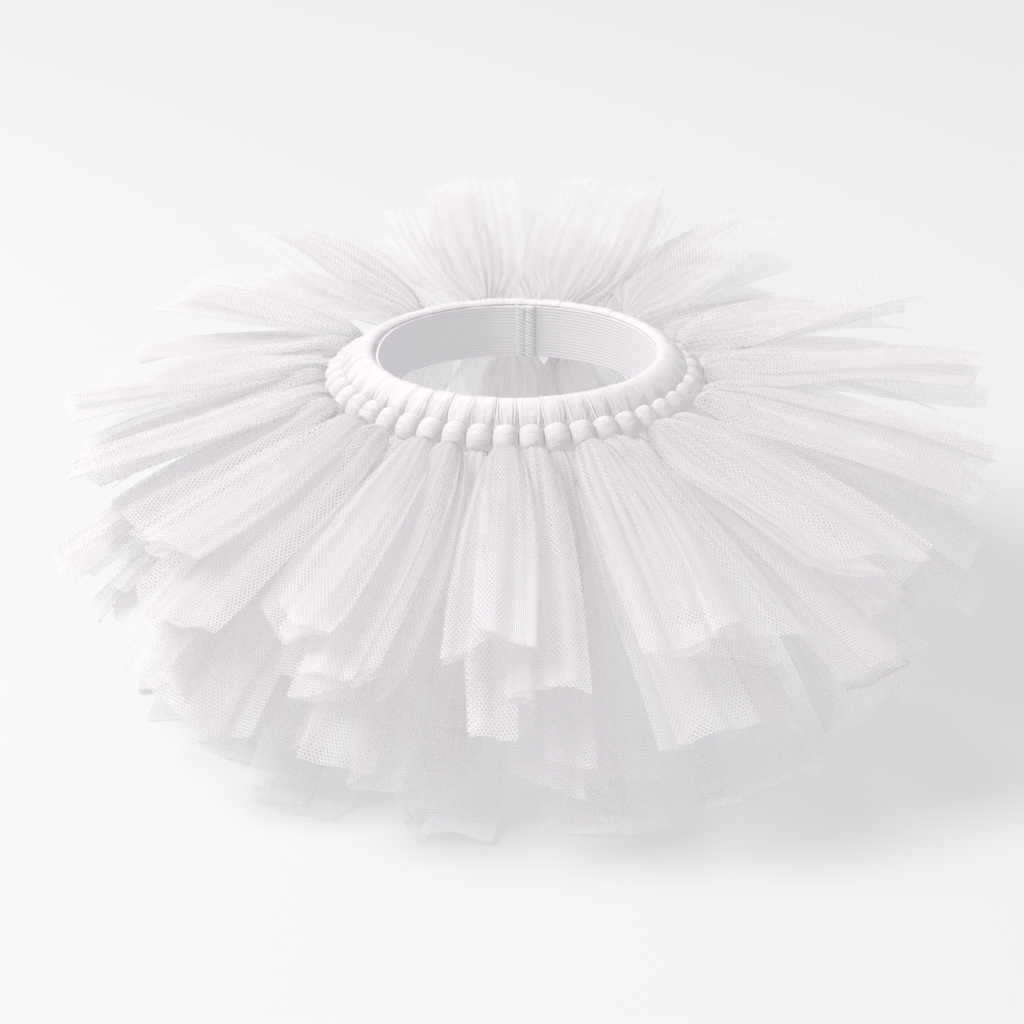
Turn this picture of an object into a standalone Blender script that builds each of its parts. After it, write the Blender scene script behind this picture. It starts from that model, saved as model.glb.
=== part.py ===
"""A baby's ballet tutu, made the no-sew way: strips of soft tulle are folded in half and knotted side by
side round an elastic waistband, so that each strip shows a loop over the band, a knot and two tails.

Run with: blender --background --python part.py

Metres, +Z up. The origin is on the surface that the tutu stands on, under the middle of its bounding box.
The front is at -Y. An azimuth is in degrees from the front, and grows towards +X. Along a strip, a droop is
an angle in degrees below the horizontal, in the upright plane through the waist's axis and the strip.
"""

import math
import random
from collections import namedtuple

import bpy

# --- Driving dimensions ---------------------------------------------------------------------------
STRIP_COUNT = 45
STRIP_PITCH = 360 / STRIP_COUNT
FIRST_AZIMUTH = -2.9  # of the strip beside the middle of the front

RIM_HEIGHT = 0.1578  # top of the loops, above the surface
ELASTIC_RADIUS = 0.0640  # inner face
ELASTIC_THICK = 0.0012
ELASTIC_WIDTH = 0.0256
ELASTIC_BELOW_RIM = 0.0012

CLOTH = 0.0012  # wall of one tail
SEAM_GAP = 0.0003
TAIL_OFFSET = 0.54 * CLOTH  # from the fork's middle to the middle of each tail

KNOT_RADIUS = 0.0805  # from the waist's axis to the knots' middle
KNOT_HEIGHT = RIM_HEIGHT - 0.0133
KNOT_TO_NECK = 0.0070  # from the knot's middle to where the two tails part
LOOP_DROOP = 45.0  # the slope of the loops' outer side

TOP_DROOP_SIDE = 4.5  # the uppermost tails, between the two sides
TOP_DROOP_SWING = 17.5  # more at the front and less at the back, where they stand up
TOP_DROOP_TILT = 4.0  # more at the left and less at the right
TAIL_ARCH = 6.0  # how far a tail's ends turn from its chord
LANDING_RADIUS = 0.166  # where the lowest tails meet the surface
FOOT_LENGTH = 0.010  # the hem's run that lies on the surface
WIDEST_FORK = 19.5  # degrees between a strip's own two tails

LAP_START, LAP_END, LAP_RAMP_END = 171.4, 179.2, 190.0  # azimuths of the elastic's lapped ends
LAP_EDGE = 0.15  # degrees over which the lapped end steps down
BOW_AZIMUTH, BOW_SPREAD, BOW_DEPTH = -95.0, 24.0, 0.0022  # where the elastic's top edge leans inwards
ELASTIC_STEP = 5.0  # degrees between the elastic's sections

TULLE_COLOUR = (0.90, 0.88, 0.91, 1.0)
ELASTIC_COLOUR = (0.86, 0.85, 0.88, 1.0)
SEED = 65

COLUMNS = (-1.0, -0.5, 0.0, 0.5, 1.0)  # across a strip, as shares of its half width
PLEAT_WAVE = (1.0, -1.0, 1.0, -1.0, 1.0)  # two pleats across each tail

# Sections down a strip's head, from behind the rim to the neck under its knot. "along" is the section's
# middle as a distance from the knot's middle, back up the loop's slope.
Head = namedtuple("Head", "name along half_thick half_width roundness")
HEAD = (
    Head("shoulder", -0.0118, 0.0030, 0.00475, 0.15),
    Head("waist", -0.0060, 0.0031, 0.00370, 0.35),
    Head("knot_top", -0.0038, 0.0048, 0.00460, 0.50),
    Head("knot_middle", 0.0002, 0.0058, 0.00525, 0.55),
    Head("knot_bottom", 0.0040, 0.0042, 0.00450, 0.50),
)
# The rolled edge over the rim, as outer and inner points: radius from the elastic, height from the rim.
Rim = namedtuple("Rim", "name outer_out outer_up inner_out inner_up half_width roundness")
RIM = (
    Rim("edge", 0.0009, -0.0014, 0.0000, -0.0036, 0.00444, 0.10),
    Rim("top", 0.0036, 0.0000, 0.0011, -0.0054, 0.00457, 0.15),
)
NECK_HALF_WIDTH = 0.0038

# Sections along a tail: its place as a share of the length, its width, and its pleats' depth.
Section = namedtuple("Section", "share width pleat")
SECTIONS = (
    Section(0.06, 0.0110, 0.0002),
    Section(0.19, 0.0195, 0.0005),
    Section(0.40, 0.0310, 0.0017),
    Section(0.68, 0.0370, 0.0032),
    Section(1.00, 0.0410, 0.0042),
)

# The two tails of each kind of strip. A level runs from 0, the skirt's uppermost tails, to 1, those that
# reach the surface; "upper" and "lower" are the levels where the skirt's front has them. "lift" moves the
# kind's neck up or down on its knot, and "hem" is the lower tail's width as a share of the upper one's.
Kind = namedtuple("Kind", "name lift upper lower upper_length lower_length hem")
KINDS = (
    Kind("top", 0.0000, 0.000, 0.330, 0.128, 0.145, 1.05),
    Kind("middle", 0.0003, 0.165, 0.530, 0.132, 0.157, 1.10),
    Kind("bottom", -0.0014, 0.730, 1.000, 0.148, 0.165, 1.45),
)

# Slow waves round the skirt, in degrees of droop, shared by all the levels.
Wave = namedtuple("Wave", "times depth phase")
WAVES = (
    Wave(3, 1.4, 1.0),
    Wave(5, 1.1, 2.4),
)

# How unevenly the strips are cut and lie, each way from the values above.
LENGTH_SPREAD = 0.006
LENGTH_TILT = 0.003  # longer at the right, shorter at the left
WIDTH_SPREAD = 0.10  # share of the width
DROOP_SPREAD = 0.6
LEAN_SPREAD = 2.6  # degrees of azimuth at the hem
LEAN_CURVE = 1.5  # power of the share of the length: a tail starts straight and leans more and more
SLANT_SPREAD = 0.007  # of the cut end, from the middle to a corner


def direction(droop):
    """The unit vector (outwards, upwards) of a droop."""
    return math.cos(math.radians(droop)), -math.sin(math.radians(droop))


def normal(droop):
    """The unit vector square to direction(droop), on the cloth's outer side."""
    return math.sin(math.radians(droop)), math.cos(math.radians(droop))


def moved(point, droop, along=0.0, out=0.0):
    """point (radius, height) moved along a droop, and out on its normal."""
    ahead, up = direction(droop), normal(droop)
    return (
        point[0] + along * ahead[0] + out * up[0],
        point[1] + along * ahead[1] + out * up[1],
    )


def placed(point, azimuth, sideways=0.0):
    """The point in space of (radius, height) at an azimuth, moved sideways round the waist's axis."""
    angle = math.radians(azimuth) + sideways / point[0]
    return point[0] * math.sin(angle), -point[0] * math.cos(angle), point[1]


def top_droop(azimuth):
    """The droop of the uppermost tails."""
    angle = math.radians(azimuth)
    droop = TOP_DROOP_SIDE + TOP_DROOP_SWING * math.cos(angle) - TOP_DROOP_TILT * math.sin(angle)
    return droop + sum(wave.depth * math.sin(wave.times * angle + wave.phase) for wave in WAVES)


def tail_droops(kind, azimuth):
    """The droops of a strip's upper and lower tails: the levels fan out between top_droop and the surface,
    and a fork that this would open too wide closes towards the nearer end of the fan."""
    top = top_droop(azimuth)
    lowest = math.degrees(math.atan2(KNOT_HEIGHT, LANDING_RADIUS - KNOT_RADIUS))
    upper = top + (lowest - top) * kind.upper
    lower = top + (lowest - top) * kind.lower
    if kind.lower == 1.0:
        return max(upper, lower - WIDEST_FORK), lower
    return upper, min(lower, upper + WIDEST_FORK)


def arc_point(start, droop_start, turn, share, length):
    """(radius, height), droop of a point on a tail's arc, which turns evenly by turn degrees."""
    half_turned = turn * share / 2
    chord = length * share * math.sin(math.radians(half_turned)) / math.radians(half_turned)
    return moved(start, droop_start + half_turned, along=chord), droop_start + turn * share


def tail_rows(start, azimuth, droop, length, widen, lands, chance):
    """Outer and inner rows of points along a tail, one row for each section. A tail that lands has its
    droop and length from where it meets the surface, and a last row where its hem ends."""
    if lands:
        run, fall = LANDING_RADIUS - start[0], start[1] - CLOTH / 2
        droop = math.degrees(math.atan2(fall, run))
        half_turn = math.radians(TAIL_ARCH)
        length = math.hypot(run, fall) * half_turn / math.sin(half_turn)
    else:
        droop += chance.uniform(-DROOP_SPREAD, DROOP_SPREAD)
        length += chance.uniform(-LENGTH_SPREAD, LENGTH_SPREAD)
        length += LENGTH_TILT * math.sin(math.radians(azimuth))
    wide = 1 + chance.uniform(-WIDTH_SPREAD, WIDTH_SPREAD)
    flare = widen - 1
    lean = chance.uniform(-LEAN_SPREAD, LEAN_SPREAD)
    slant = chance.uniform(-SLANT_SPREAD, SLANT_SPREAD)
    side = chance.choice((-1, 1))

    outer_rows, inner_rows = [], []
    for section in SECTIONS:
        last = section is SECTIONS[-1]
        pleat = 0.0 if lands and last else section.pleat * side
        outer, inner = [], []
        for across, wave in zip(COLUMNS, PLEAT_WAVE):
            share = section.share
            if last and not lands:
                share += slant * across / length
            point, turned = arc_point(start, droop - TAIL_ARCH, 2 * TAIL_ARCH, share, length)
            if lands and last:
                turned = 0.0
            angle = azimuth + lean * section.share**LEAN_CURVE
            sideways = across * section.width / 2 * wide * (1 + flare * section.share)
            for rows, out in ((outer, CLOTH / 2), (inner, -CLOTH / 2)):
                rows.append(placed(moved(point, turned, out=pleat * wave + out), angle, sideways))
        outer_rows.append(outer)
        inner_rows.append(inner)
    if lands:
        reach = LANDING_RADIUS + FOOT_LENGTH
        half = SECTIONS[-1].width / 2 * wide * widen
        for rows, height in ((outer_rows, CLOTH), (inner_rows, 0.0)):
            toe = [
                placed((reach + slant * across, height), azimuth + lean, across * half)
                for across in COLUMNS
            ]
            rows.append(toe)
    return outer_rows, inner_rows


def rounded_row(outer, inner, azimuth, half_width, roundness):
    """An outer and an inner row across a strip's head, thinner towards its two sides, which keep to planes
    through the waist's axis, so that neighbours stay apart."""
    middle = [(a + b) / 2 for a, b in zip(outer, inner)]
    rows = ([], [])
    for across in COLUMNS:
        keep = 1 - roundness * across**2
        for row, end in zip(rows, (outer, inner)):
            point = [m + (e - m) * keep for m, e in zip(middle, end)]
            row.append(placed(point, azimuth, across * half_width * point[0] / middle[0]))
    return rows


def head_rows(azimuth, neck_droop):
    """Outer and inner rows from behind the rim, down the loop and round the knot."""
    knot = (KNOT_RADIUS, KNOT_HEIGHT)
    back = ELASTIC_RADIUS + ELASTIC_THICK + SEAM_GAP
    outer_rows, inner_rows = [], []
    for part in RIM:
        outer = (back + part.outer_out, RIM_HEIGHT + part.outer_up)
        inner = (back + part.inner_out, RIM_HEIGHT + part.inner_up)
        pair = rounded_row(outer, inner, azimuth, part.half_width, part.roundness)
        outer_rows.append(pair[0])
        inner_rows.append(pair[1])
    for part in HEAD:
        droop = LOOP_DROOP if part.along < 0 else (LOOP_DROOP + neck_droop) / 2
        outer = moved(knot, droop, part.along, part.half_thick)
        inner = moved(knot, droop, part.along, -part.half_thick)
        pair = rounded_row(outer, inner, azimuth, part.half_width, part.roundness)
        outer_rows.append(pair[0])
        inner_rows.append(pair[1])
    return outer_rows, inner_rows


def forked_mesh(name, head, neck, upper, lower):
    """A closed mesh from rows of points: a head that ends at the neck's outer, middle and inner rows, where
    it parts into an upper and a lower tail. Its outline is one closed loop of rows."""
    head_outer, head_inner = head
    neck_outer, neck_middle, neck_inner = neck
    upper_outer, upper_inner = upper
    lower_outer, lower_inner = lower
    loop = [*head_outer, neck_outer, *upper_outer, *reversed(upper_inner), neck_middle]
    loop += [*lower_outer, *reversed(lower_inner), neck_inner, *reversed(head_inner)]
    points = [point for row in loop for point in row]
    width = len(COLUMNS)
    heads, uppers, lowers = len(head_outer), len(upper_outer), len(lower_outer)
    neck_out = heads
    neck_mid = neck_out + 2 * uppers + 1
    neck_in = neck_mid + 2 * lowers + 1

    faces = []
    for row in range(len(loop)):
        following = (row + 1) % len(loop)
        coming_back = neck_out + uppers < row < neck_mid or row > neck_mid + lowers
        for column in range(width - 1):
            here, ahead = row * width + column, following * width + column
            if coming_back:  # the same diagonals on both faces of the wall, so that it keeps its thickness
                faces += [(here, here + 1, ahead), (here + 1, ahead + 1, ahead)]
            else:
                faces += [(here, here + 1, ahead + 1), (here, ahead + 1, ahead)]

    ends = ((0, len(loop) - 1, heads - 1), (neck_out, neck_mid, uppers), (neck_mid, neck_in, lowers))
    walls = [
        (first + i, first + i + 1, last - i - 1, last - i) for first, last, count in ends for i in range(count)
    ]
    above_neck, below_neck = heads - 1, neck_in + 1
    walls += [(above_neck, neck_out, neck_mid), (above_neck, neck_mid, below_neck)]
    walls.append((below_neck, neck_mid, neck_in))
    for wall in walls:
        faces.append(tuple(row * width for row in wall))
        faces.append(tuple(row * width + width - 1 for row in reversed(wall)))

    mesh = bpy.data.meshes.new(name)
    mesh.from_pydata(points, [], faces)
    mesh.validate()
    return mesh


def strip_mesh(index, chance):
    """One strip of tulle: its loop over the band, its knot and its two tails."""
    kind = KINDS[index % len(KINDS)]
    azimuth = FIRST_AZIMUTH + index * STRIP_PITCH
    upper_droop, lower_droop = tail_droops(kind, azimuth)
    neck_droop = (upper_droop + lower_droop) / 2
    middle = moved((KNOT_RADIUS, KNOT_HEIGHT), neck_droop, KNOT_TO_NECK, kind.lift)
    levels = [moved(middle, neck_droop, out=out) for out in (2 * TAIL_OFFSET, 0.0, -2 * TAIL_OFFSET)]
    neck = [[placed(point, azimuth, across * NECK_HALF_WIDTH) for across in COLUMNS] for point in levels]
    upper_start = moved(middle, neck_droop, out=TAIL_OFFSET)
    lower_start = moved(middle, neck_droop, out=-TAIL_OFFSET)
    upper = tail_rows(upper_start, azimuth, upper_droop, kind.upper_length, 1.0, False, chance)
    lands = kind.lower == 1.0
    lower = tail_rows(lower_start, azimuth, lower_droop, kind.lower_length, kind.hem, lands, chance)
    return forked_mesh(f"tulle_strip_{index + 1:02d}", head_rows(azimuth, neck_droop), neck, upper, lower)


def elastic_inner_radius(azimuth):
    """The elastic's inner face: one end laps over the other, steps down, and runs back on the other side."""
    lapped = ELASTIC_RADIUS - ELASTIC_THICK
    if LAP_START <= azimuth <= LAP_END:
        return lapped
    if LAP_END < azimuth < LAP_RAMP_END:
        ramp = (azimuth - LAP_END) / (LAP_RAMP_END - LAP_END)
        return lapped + ELASTIC_THICK * ramp
    return ELASTIC_RADIUS


def elastic_mesh():
    """The waistband: a closed ring of flat elastic, thicker where its ends lap."""
    azimuths = [i * ELASTIC_STEP for i in range(round(360 / ELASTIC_STEP))]
    azimuths = sorted({*azimuths, LAP_START - LAP_EDGE, LAP_START, LAP_END, LAP_RAMP_END})
    top = RIM_HEIGHT - ELASTIC_BELOW_RIM
    bottom = top - ELASTIC_WIDTH
    points, faces = [], []
    for azimuth in azimuths:
        inner = elastic_inner_radius(azimuth)
        outer = ELASTIC_RADIUS + ELASTIC_THICK
        from_bow = (azimuth - BOW_AZIMUTH + 180) % 360 - 180
        bow = BOW_DEPTH * math.exp(-((from_bow / BOW_SPREAD) ** 2))
        corners = ((inner, bottom), (outer, bottom), (outer - bow, top), (inner - bow, top))
        points += [placed(corner, azimuth) for corner in corners]
    count, around = len(azimuths), 4
    for section in range(count):
        following = (section + 1) % count
        for corner in range(around):
            after = (corner + 1) % around
            faces.append(
                (
                    section * around + corner,
                    following * around + corner,
                    following * around + after,
                    section * around + after,
                )
            )
    mesh = bpy.data.meshes.new("elastic_band")
    mesh.from_pydata(points, [], faces)
    mesh.validate()
    return mesh


def fabric(name, colour):
    """A matt cloth material of one colour."""
    material = bpy.data.materials.new(name)
    material.use_nodes = True
    shader = material.node_tree.nodes["Principled BSDF"]
    shader.inputs["Base Color"].default_value = colour
    shader.inputs["Roughness"].default_value = 0.9
    shader.inputs["Metallic"].default_value = 0.0
    material.diffuse_color = colour
    return material


def add(mesh, material):
    """An object of a mesh, in the scene, with its faces pointing out."""
    mesh.materials.append(material)
    if signed_volume(mesh) < 0:
        mesh.flip_normals()
    thing = bpy.data.objects.new(mesh.name, mesh)
    bpy.context.scene.collection.objects.link(thing)
    return thing


def signed_volume(mesh):
    """The volume inside a closed mesh, negative if its faces point in."""
    mesh.calc_loop_triangles()
    total = 0.0
    for triangle in mesh.loop_triangles:
        a, b, c = (mesh.vertices[i].co for i in triangle.vertices)
        total += a.dot(b.cross(c))
    return total / 6


def centre_on_origin(things):
    """Moves everything sideways, so that the bounding box's middle is over the origin."""
    for axis in (0, 1):
        places = [vertex.co[axis] for thing in things for vertex in thing.data.vertices]
        middle = (min(places) + max(places)) / 2
        for thing in things:
            thing.location[axis] = -middle


def main():
    for thing in list(bpy.data.objects):
        bpy.data.objects.remove(thing)
    tulle = fabric("tulle", TULLE_COLOUR)
    chance = random.Random(SEED)
    things = [add(elastic_mesh(), fabric("elastic", ELASTIC_COLOUR))]
    things += [add(strip_mesh(index, chance), tulle) for index in range(STRIP_COUNT)]
    centre_on_origin(things)


main()
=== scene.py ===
"""The looks of a baby's ballet tutu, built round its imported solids: strips of soft tulle net knotted side by
side round a lapped elastic waistband, on a pale floor in soft studio light.

Metres, +Z up, and the front at -Y. An azimuth is in degrees from the front, and grows towards +X. Along a
strip, a droop is an angle in degrees below the horizontal. A share runs from 0, at the knot, to 1, at the
solid tail's end. Points of a strip are (radius, height) from the waist's axis until they are placed.
"""

import math
import random
from collections import namedtuple

import bpy
import numpy as np
from mathutils import Matrix, Vector

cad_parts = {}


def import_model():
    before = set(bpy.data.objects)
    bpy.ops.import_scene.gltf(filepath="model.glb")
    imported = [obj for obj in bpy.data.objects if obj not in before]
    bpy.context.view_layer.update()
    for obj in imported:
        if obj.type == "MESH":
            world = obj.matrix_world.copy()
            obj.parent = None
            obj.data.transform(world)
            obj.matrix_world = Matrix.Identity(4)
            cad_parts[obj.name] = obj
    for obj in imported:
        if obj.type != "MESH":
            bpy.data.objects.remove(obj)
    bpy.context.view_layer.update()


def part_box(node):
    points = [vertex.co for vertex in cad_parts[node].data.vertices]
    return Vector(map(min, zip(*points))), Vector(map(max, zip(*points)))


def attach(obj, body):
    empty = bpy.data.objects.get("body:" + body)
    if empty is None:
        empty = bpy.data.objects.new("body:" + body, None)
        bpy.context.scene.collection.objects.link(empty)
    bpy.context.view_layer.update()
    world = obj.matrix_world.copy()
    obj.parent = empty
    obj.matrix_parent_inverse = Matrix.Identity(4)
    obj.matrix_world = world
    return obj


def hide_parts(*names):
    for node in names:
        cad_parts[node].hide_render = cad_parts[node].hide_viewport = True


# --- The solids' sizes, the same as in their source -------------------------------------------------
STRIP_COUNT = 45
STRIP_PITCH = 360 / STRIP_COUNT
FIRST_AZIMUTH = -2.9
RIM_HEIGHT = 0.1578
ELASTIC_RADIUS = 0.0640
ELASTIC_THICK = 0.0012
ELASTIC_WIDTH = 0.0256
ELASTIC_BELOW_RIM = 0.0012
CLOTH = 0.0012
SEAM_GAP = 0.0003
TAIL_OFFSET = 0.54 * CLOTH
KNOT_RADIUS = 0.0805
KNOT_HEIGHT = RIM_HEIGHT - 0.0133
KNOT_TO_NECK = 0.0070
LOOP_DROOP = 45.0
TOP_DROOP_SIDE = 4.5
TOP_DROOP_SWING = 17.5
TOP_DROOP_TILT = 4.0
TAIL_ARCH = 6.0
LANDING_RADIUS = 0.166
FOOT_LENGTH = 0.010
WIDEST_FORK = 19.5
LAP_START, LAP_END, LAP_RAMP_END = 171.4, 179.2, 190.0
LAP_EDGE = 0.15
BOW_AZIMUTH, BOW_SPREAD, BOW_DEPTH = -95.0, 24.0, 0.0022
SOLID_SEED = 65
# The depth of a tail's pleats at shares of its length.
PLEATS = (
    (0.0, 0.0),
    (0.06, 0.0002),
    (0.19, 0.0005),
    (0.40, 0.0017),
    (0.68, 0.0032),
    (1.00, 0.0042),
)
Kind = namedtuple("Kind", "name lift upper lower upper_length lower_length")
KINDS = (
    Kind("top", 0.0000, 0.000, 0.330, 0.128, 0.145),
    Kind("middle", 0.0003, 0.165, 0.530, 0.132, 0.157),
    Kind("bottom", -0.0014, 0.730, 1.000, 0.148, 0.165),
)
Wave = namedtuple("Wave", "times depth phase")
WAVES = (
    Wave(3, 1.4, 1.0),
    Wave(5, 1.1, 2.4),
)
LENGTH_SPREAD = 0.006
LENGTH_TILT = 0.003
WIDTH_SPREAD = 0.10
DROOP_SPREAD = 0.6
LEAN_SPREAD = 2.6
LEAN_CURVE = 1.5
SLANT_SPREAD = 0.007

# --- The cloth on the solids -----------------------------------------------------------------------
STRIP_WIDTH = 0.10  # as cut
LOOP_LENGTH = 0.030  # of a strip, from its one tail round the knot and over the rim to the other
FOLD_SEED = 11
CENTRE_STEPS = 120
FOOT_RUN = 1.3  # how far a tail's middle line runs along the floor, in lengths of the solid's foot
CORNER_ROUNDS = 14  # passes that round the bend where a tail meets the floor
TAIL_ROWS = 30
ROW_EASE = 1.3  # rows lie closer together towards the knot
COLUMN_WIDTH = 0.00130  # of cloth between columns
FEWEST_COLUMNS = 4  # in a layer
FOLD_TURNS = (45.0, 90.0, 135.0)  # degrees round a fold, where it has columns of its own
FOLD_GAP = 0.0007  # a fold's height at the hem
TAIL_START = -0.025  # share, inside the knot
WIDTH_EASE = 0.95  # power of the share: how a layer's edge fans from its place at the knot to the hem
RISE_EASE = 1.2  # the same for the layers' heights

# Tables of a share of a tail's length, and a size in metres there.
HALF_WIDTHS = (  # of the loose cloth
    (-0.025, 0.0034),
    (-0.008, 0.0046),
    (0.012, 0.0070),
    (0.04, 0.0086),
    (0.10, 0.0104),
    (0.19, 0.0116),
    (0.40, 0.0146),
    (0.68, 0.0182),
    (1.0, 0.0215),
)
STACK = (  # from one layer to the next
    (-0.1, 0.00012),
    (0.0, 0.0002),
    (0.06, 0.0005),
    (0.2, 0.0004),
    (1.0, 0.0002),
)
CROWN = (  # how far a tail bulges out below its knot
    (-0.02, 0.0010),
    (0.0, 0.0036),
    (0.03, 0.0056),
    (0.08, 0.0058),
    (0.2, 0.0036),
    (0.5, 0.0),
)
RIPPLE_DEPTH = (
    (-0.02, 0.0002),
    (0.02, 0.0004),
    (0.12, 0.0007),
    (0.25, 0.0008),
    (0.40, 0.0006),
    (0.60, 0.0005),
    (0.85, 0.0003),
    (1.0, 0.0002),
)
RIPPLE_WIDTH = 0.0068  # of cloth in each gather
RIPPLES_UNEVEN = 0.35  # how far they stray from even spacing, in turns
RIPPLE_STRAY = 0.031  # of cloth for each time that they do

SLIM = (0.66, 1.05)  # least and most of its width that a loose tail keeps at its hem
SLIM_FROM = 0.4  # the share where it starts to
LANDING_WIDTH = 1.30  # how much wider the cloth of the tails that land is
BACK_WIDTH = 1.45  # how much is added to the width at the back, and less towards the front
WIDEST = 2.4  # the most that a tail is widened in all
WIDENED = (-0.02, 0.25)  # shares between which the widening sets in
SHINGLE = 0.12  # how steeply each tail's neck leans over its neighbour's
SHINGLE_IN = (-0.01, 0.03)  # shares between which that starts
SHINGLE_OUT = (0.1, 0.5)  # and ends
FLATTENED = 0.5  # of its folds' height that a tail that lands loses on the floor
FLATTENING = (0.55, 0.95)  # shares between which it does

KNOT_SPREAD = (0.40, 0.75)  # a fold's place at the knot: a fixed share, and a share of its place at the hem
DROP = (0.0007, 0.0022)  # from each fold down to the next, at the hem
WEB_DROP = (0.0025, 0.0060)  # the same where the cloth crosses to another bunch of folds
WEB_CHANCE = 0.45
TURNS = (3, 7)  # fewest and most stops of a zigzag after its first
LAYER_SPAN = (0.45, 1.70)  # shortest and longest layer, in half widths
ZIGZAG_TRIES = 60
TWIST = 0.20  # how steeply a tail's folds may lean to one side
SWAY = 0.0020  # how far a tail waves up and down
SWAY_TURNS = 1.1
TOP_SWELL = (0.0002, 0.0028)  # how far the middle of the top layer stands out
SWELL = (-0.0008, 0.0014)  # and of the others
HEM_UNEVEN = 0.0100  # how far the cut end lies in or out at a fold
LIFT_CHANCE = 0.45  # that a corner of the hem is turned up or down
LIFT = (0.002, 0.007)
LIFT_WAYS = (1, 1, -1)
LIFT_FROM, LIFT_RUN = 0.80, 0.20  # shares of the length
LIFT_LEVEL, LIFT_TILT = 0.35, 0.65  # of the turned hem: all across, and towards its corner
FOOT_SHARE = (-0.3, 1.2)  # of the solid's foot that the cloth runs along, or below 0 stops short of
LENGTH_SHARE = (0.89, 1.0)  # of the solid's length that the loose tails reach
LEAN_SHARE = 0.65  # of the solid's lean that the cloth follows
PLEAT_SHARE = 0.40  # of the solid's pleats that the cloth follows
LEAST_HEIGHT = 0.0007  # of the cloth above the floor

# --- The heads: loops over the rim, and knots --------------------------------------------------------
# A loop's outer face: distance out from the elastic, height above the rim, share of the pitch that it
# fills, thickness of the gathered cloth, and the power of its rounded outline.
LoopRow = namedtuple("LoopRow", "out up fill thick square")
LOOP = (
    LoopRow(-0.0010, -0.0011, 1.10, 0.0006, 0.22),
    LoopRow(0.0004, 0.0003, 1.11, 0.0020, 0.22),
    LoopRow(0.0030, 0.0006, 1.12, 0.0032, 0.24),
    LoopRow(0.0060, -0.0007, 1.13, 0.0042, 0.28),
    LoopRow(0.0090, -0.0030, 1.11, 0.0052, 0.38),
    LoopRow(0.0116, -0.0057, 1.02, 0.0060, 0.60),
    LoopRow(0.0136, -0.0084, 0.84, 0.0060, 0.82),
    LoopRow(0.0150, -0.0110, 0.62, 0.0054, 0.95),
)
LOOP_ROWS = 22
LOOP_FACE = 72  # columns across a loop's outer face
LOOP_BACK = 6
LOOP_CLOTH = 0.011  # the width of net across a loop's outer face, as its fine texture shows it
GATHERS = ((5.3, 0.00026), (8.7, 0.00022), (13.1, 0.00016))  # wrinkles across a loop, and their depth
GATHER_DRIFT = 0.6  # how far they run sideways down the loop, in wrinkles
GATHER_SPREAD = (0.8, 1.2)  # shares of their number
GATHER_BEND, GATHER_BEND_TURNS = (0.1, 0.5), 0.7
GATHER_FADES = (0.5, 1.2)  # how often they grow and fade down the loop
GATHERS_CLEAR = (0.1, 0.6)  # from the rim down, where they reach their full depth
LOOP_SIZES = (0.96, 1.04)
LOOP_PROUD = 0.0004  # the most that a loop stands out from its place
LOOP_SHOVE = 0.0003  # and that it lies to one side of it
KNOT_AROUND = 44
KNOT_ALONG = 46
KNOT_TOP, KNOT_BOTTOM = -0.0060, 0.0062
KNOT_CROWN = 0.0056  # half thickness at the knot's middle
KNOT_HALF_WIDTH = 0.0061
KNOT_END = 0.42  # share of its width at the knot's top and bottom
KNOT_POWER = 2.1  # of the rounded outline between them
KNOT_SIZES = (0.94, 1.03)
KNOT_BEND = (-0.002, 0.004)  # along the knot, where it turns from the loop's slope towards the tails'
WRAP_PITCH = 0.00105
WRAP_DEPTH = 0.00055
WRAP_SLANT, WRAP_CURVE = (0.8, 2.2), (-1.2, 0.6)  # across the knot, in wraps
WRAP_WAYS = (-1, 1, 1, 1)
WRAP_WAVE, WRAP_WAVE_TURNS = 0.28, 0.8
NET_SHIFT = 4  # how many holes the net is shifted by at most, from one sheet to the next

# --- The elastic -----------------------------------------------------------------------------------
RIBS = 17
RIB_DEPTH = 0.00030
RIB_POWER = 0.6
CALM_UP, CALM_SPREAD, CALM = 0.52, 0.07, 0.75  # the plainer stretch: its place up the band, and how plain
EDGE_ROUND, EDGE_SHARE = 0.0002, 0.015  # how far its edges are rounded off, and over what share of it
BOW_CURVE = 1.5  # power of the share of the band's height, for its lean
BAND_AROUND = 288
BAND_UP = 104
PLAIN_STEP = 12  # rows of the inner face to each row of the outer one
STITCH_COLUMNS = (177.6, 173.6)  # azimuths of the two columns over the lap
STITCHES = 16
STITCH_LENGTH = 0.0052
STITCH_RADIUS = 0.00084
STITCH_LEAN, STITCH_LEAN_SPREAD = 28, 6  # degrees
STITCH_SPREAD = (0.9, 1.1)  # of the length
STITCH_STRAY = 0.1  # of the space between stitches
STITCH_SINK = 0.0005  # how far its ends go into the elastic
STITCH_FROM, STITCH_SPARE = 0.6, 0.2  # in stitches: from the top to the first, and room left over

# --- Colours and net -------------------------------------------------------------------------------
NET_PITCH = 0.00170  # between the middles of neighbouring holes
HOLE_RADIUS = 0.35  # share of the pitch
HOLE_EDGE = 0.09  # each way from it, where hole turns into thread
NET_COLOUR = (0.985, 0.964, 0.985, 1.0)
# the net's white, darkened with painted shade for the shadows among its tight small folds
GATHERED_SHADED_COLOUR = (0.92, 0.892, 0.922, 1.0)
ELASTIC_COLOUR = (0.91, 0.885, 0.92, 1.0)
THREAD_COLOUR = (0.99, 0.97, 0.99, 1.0)
FLOOR_COLOUR = (0.805, 0.807, 0.82, 1.0)
LIGHT_THROUGH = 0.48  # how much of a thread's shade is light from behind
NET_CLOUDS = 40.0  # noise scale of the net's soft unevenness
SQUEEZE = (3.6, 2.4, 0.0)  # of the net in a loop or knot
STREAKS = (1900.0, 170.0, 0.0)  # noise scales across and along the gathered threads
GRAIN = 1800.0  # noise scale of the elastic
KNIT_ACROSS, KNIT_UP = 0.0009, 0.0005  # the elastic's stitches
PLY = 0.0004  # of the thread's twist

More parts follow.
